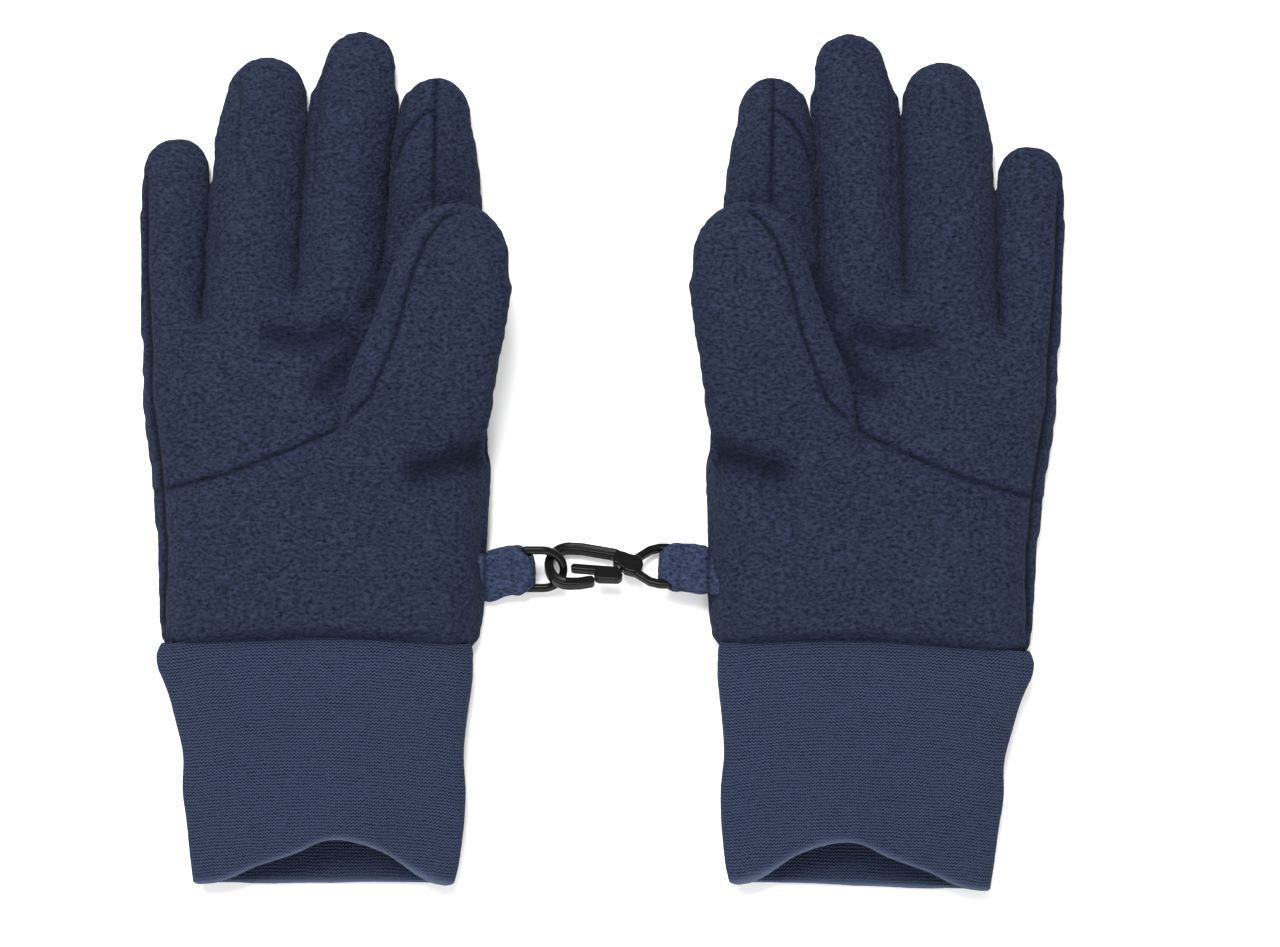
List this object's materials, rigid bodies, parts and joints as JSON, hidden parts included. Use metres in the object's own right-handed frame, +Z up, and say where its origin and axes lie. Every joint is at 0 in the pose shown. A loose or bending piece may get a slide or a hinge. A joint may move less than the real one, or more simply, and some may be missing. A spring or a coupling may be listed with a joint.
{
  "type": "pair of five-finger fleece gloves",
  "caption": "Pair of five-finger fleece gloves with knitted cuffs, joined at the wrists by a hook-and-ring glove clip.",
  "frame": {"origin": "middle of the pair's outline, on the surface the gloves lie on", "axes": "+X from the right-hand glove to the left-hand glove, +Y from the cuffs to the fingertips, +Z up out of the palms"},
  "size_m": [0.2312, 0.2138, 0.0286],
  "materials": {
    "fleece": "napped polar fleece",
    "knit": "fine jersey knit",
    "plastic": "moulded, semi-gloss"
  },
  "bodies": {
    "right_glove": {"right_back_panel": "fleece", "right_palm_panel": "fleece", "right_heel_thumb_panel": "fleece", "right_thumb_back_panel": "fleece", "right_fourchette_ring_little": "fleece", "right_fourchette_middle_ring": "fleece", "right_fourchette_index_middle": "fleece", "right_cuff_outer": "knit", "right_cuff_lining": "knit", "right_clip_tab": "fleece"},
    "right_little_end": {"right_little_end_front": "fleece", "right_little_end_back": "fleece"},
    "right_ring_end": {"right_ring_end_front": "fleece", "right_ring_end_back": "fleece"},
    "right_middle_end": {"right_middle_end_front": "fleece", "right_middle_end_back": "fleece"},
    "right_index_end": {"right_index_end_front": "fleece", "right_index_end_back": "fleece"},
    "right_thumb_end": {"right_thumb_end_front": "fleece", "right_thumb_end_back": "fleece"},
    "left_glove": {"left_back_panel": "fleece", "left_palm_panel": "fleece", "left_heel_thumb_panel": "fleece", "left_thumb_back_panel": "fleece", "left_fourchette_ring_little": "fleece", "left_fourchette_middle_ring": "fleece", "left_fourchette_index_middle": "fleece", "left_cuff_outer": "knit", "left_cuff_lining": "knit", "left_clip_tab": "fleece"},
    "left_little_end": {"left_little_end_front": "fleece", "left_little_end_back": "fleece"},
    "left_ring_end": {"left_ring_end_front": "fleece", "left_ring_end_back": "fleece"},
    "left_middle_end": {"left_middle_end_front": "fleece", "left_middle_end_back": "fleece"},
    "left_index_end": {"left_index_end_front": "fleece", "left_index_end_back": "fleece"},
    "left_thumb_end": {"left_thumb_end_front": "fleece", "left_thumb_end_back": "fleece"},
    "clip_ring": {"clip_ring": "plastic"},
    "clip_hook": {"clip_hook": "plastic"},
    "clip_gate": {"clip_gate": "plastic"}
  },
  "joints": [
    {"name": "right_little_bend", "type": "hinge", "parent": "right_glove", "child": "right_little_end", "pos_m": [-0.10727, 0.0564, 0.014], "axis": [0.9998, -0.0178, 0], "range_deg": [0, 85]},
    {"name": "right_ring_bend", "type": "hinge", "parent": "right_glove", "child": "right_ring_end", "pos_m": [-0.08546, 0.0679, 0.014], "axis": [0.9979, -0.0646, 0], "range_deg": [0, 85]},
    {"name": "right_middle_bend", "type": "hinge", "parent": "right_glove", "child": "right_middle_end", "pos_m": [-0.06254, 0.0744, 0.014], "axis": [0.9977, -0.0672, 0], "range_deg": [0, 85]},
    {"name": "right_index_bend", "type": "hinge", "parent": "right_glove", "child": "right_index_end", "pos_m": [-0.04181, 0.0693, 0.014], "axis": [0.9997, -0.0251, 0], "range_deg": [0, 85]},
    {"name": "right_thumb_bend", "type": "hinge", "parent": "right_glove", "child": "right_thumb_end", "pos_m": [-0.03973, 0.0379, 0.0284], "axis": [0.9764, -0.2162, 0], "range_deg": [0, 60]},
    {"name": "left_little_bend", "type": "hinge", "parent": "left_glove", "child": "left_little_end", "pos_m": [0.10756, 0.05438, 0.014], "axis": [0.9999, -0.0136, 0], "range_deg": [0, 85]},
    {"name": "left_ring_bend", "type": "hinge", "parent": "left_glove", "child": "left_ring_end", "pos_m": [0.08612, 0.06656, 0.014], "axis": [0.9994, 0.0332, 0], "range_deg": [0, 85]},
    {"name": "left_middle_bend", "type": "hinge", "parent": "left_glove", "child": "left_middle_end", "pos_m": [0.06342, 0.07378, 0.014], "axis": [0.9994, 0.0358, 0], "range_deg": [0, 85]},
    {"name": "left_index_bend", "type": "hinge", "parent": "left_glove", "child": "left_index_end", "pos_m": [0.04254, 0.06933, 0.014], "axis": [1, -0.0063, 0], "range_deg": [0, 85]},
    {"name": "left_thumb_bend", "type": "hinge", "parent": "left_glove", "child": "left_thumb_end", "pos_m": [0.03947, 0.03801, 0.0284], "axis": [0.9827, 0.1854, 0], "range_deg": [0, 60]},
    {"name": "ring_swing", "type": "hinge", "parent": "right_glove", "child": "clip_ring", "pos_m": [-0.0188, -0.0274, 0.0052], "axis": [0, 0.8988, 0.4384], "range_deg": [-60, 60]},
    {"name": "hook_swing", "type": "hinge", "parent": "clip_ring", "child": "clip_hook", "pos_m": [-0.01305, -0.0266, 0.0052], "axis": [0, -0.848, 0.5299], "range_deg": [-30, 40]},
    {"name": "gate_press", "type": "hinge", "parent": "clip_hook", "child": "clip_gate", "pos_m": [0.0043, -0.02804, 0.0061], "axis": [0, -0.5299, -0.848], "range_deg": [0, 14], "stiffness_Nm_per_rad": 0.03},
    {"name": "left_glove_swing", "type": "hinge", "parent": "clip_hook", "child": "left_glove", "pos_m": [0.0165, -0.0266, 0.0052], "axis": [0, 0.848, -0.5299], "range_deg": [-40, 60]}
  ]
}
